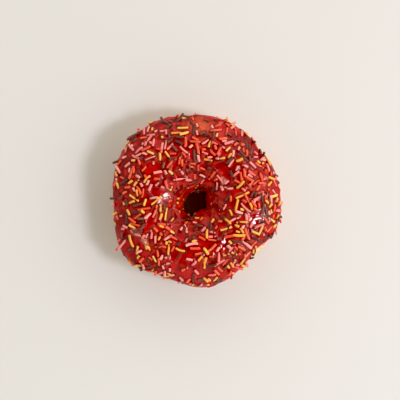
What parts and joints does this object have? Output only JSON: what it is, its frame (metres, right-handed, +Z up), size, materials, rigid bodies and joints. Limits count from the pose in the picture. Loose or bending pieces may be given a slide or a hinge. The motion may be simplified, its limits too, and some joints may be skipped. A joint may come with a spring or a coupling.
{
  "type": "sprinkle frosted ring doughnut",
  "caption": "Fried ring doughnut with a glossy red icing over its upper half, strewn all over with sugar strands, resting on its flattened base.",
  "frame": {"origin": "on the table, under the middle of the doughnut's outline", "axes": "+Z up along the hole, with the icing on top; X and Y lie on the table"},
  "size_m": [0.0888, 0.0924, 0.0338],
  "materials": {
    "fried_dough": "fried dough, golden brown with a pale line round the side, dull with a little oil",
    "red_icing": "set glaze icing, deep red and glossy",
    "pink_strands": "sugar strand, satin",
    "orange_strands": "sugar strand, satin",
    "yellow_strands": "sugar strand, satin",
    "brown_strands": "cocoa strand, satin"
  },
  "bodies": {
    "root": {"dough_ring": "fried_dough", "icing": "red_icing"}
  },
  "joints": []
}
